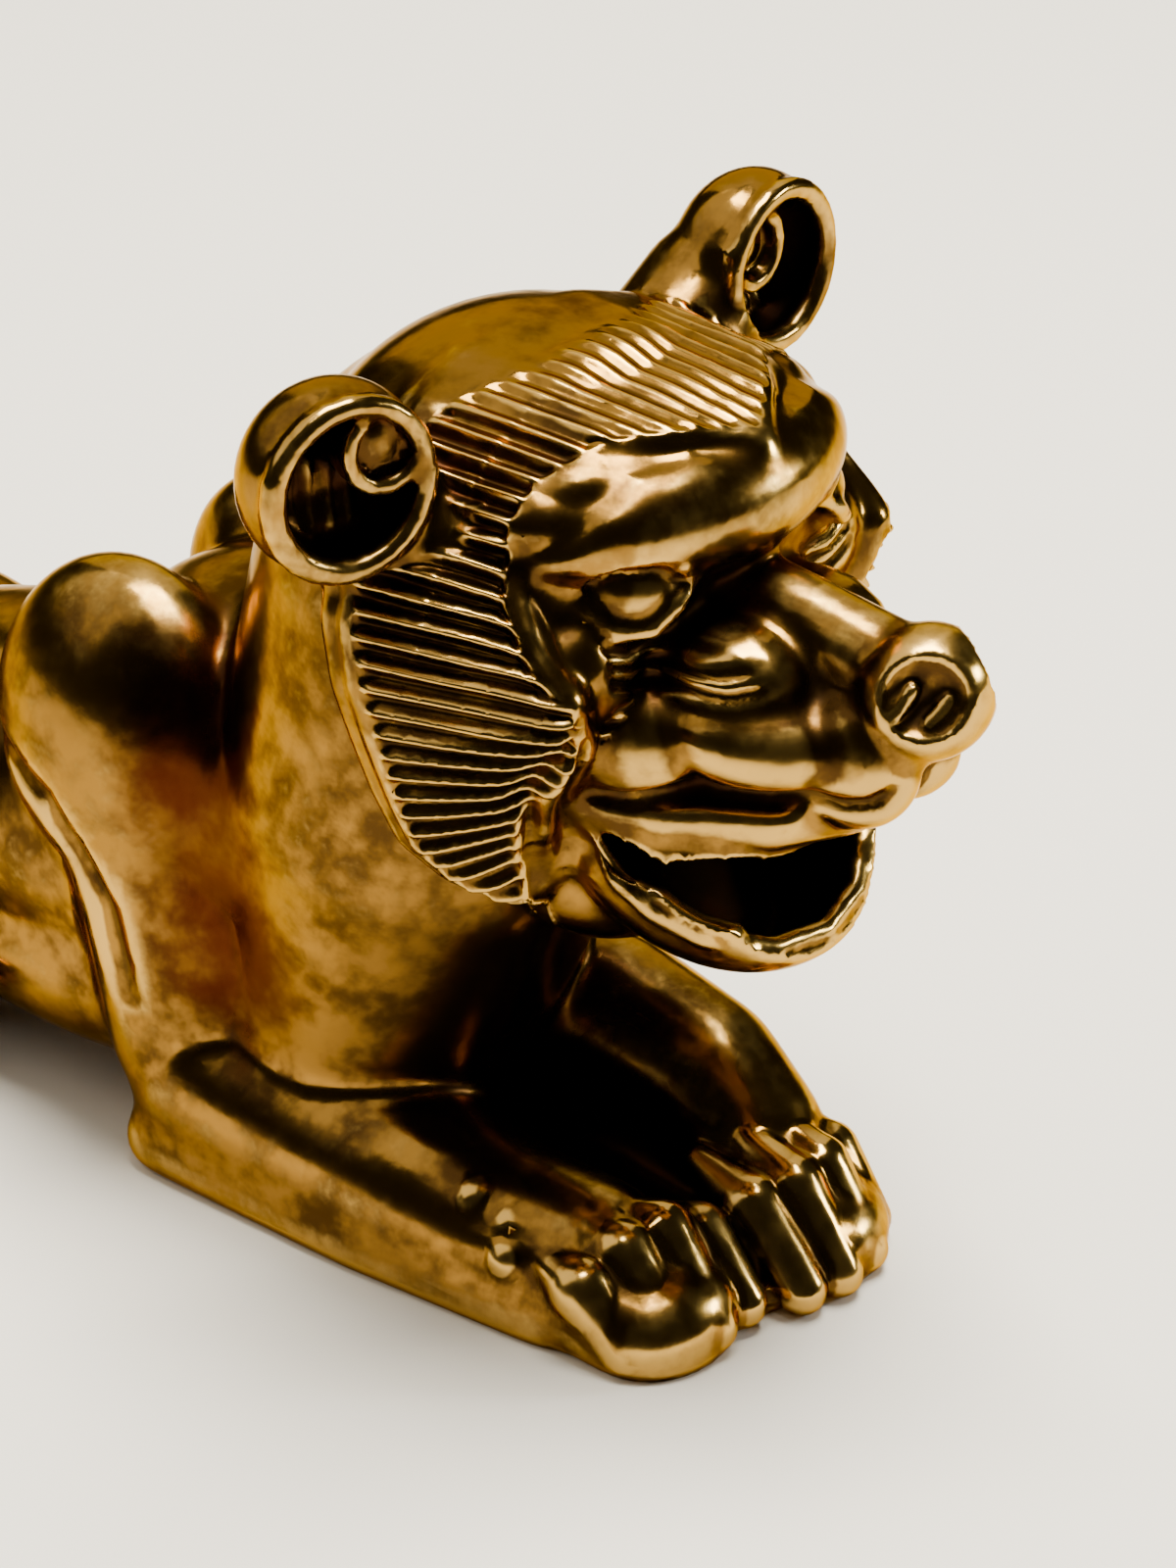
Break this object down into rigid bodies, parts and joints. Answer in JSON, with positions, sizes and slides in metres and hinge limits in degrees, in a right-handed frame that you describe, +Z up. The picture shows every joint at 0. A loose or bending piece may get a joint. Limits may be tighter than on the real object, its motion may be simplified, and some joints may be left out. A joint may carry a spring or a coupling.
{
  "type": "lion figurine",
  "caption": "Small gilt brass lion lying down with its head up and mouth open, cast in one piece with a fluted ruff round the face and a flat underside.",
  "frame": {"origin": "on the surface it stands on, under the middle of its bounding box", "axes": "+Z up, -Y the way the lion faces and lies, +X its left side; Y is the longest direction"},
  "size_m": [0.0212, 0.046, 0.0264],
  "materials": {
    "gilt_brass": "polished gilt brass, dark in the carving and a little worn"
  },
  "bodies": {
    "root": {"lion": "gilt_brass"}
  },
  "joints": []
}
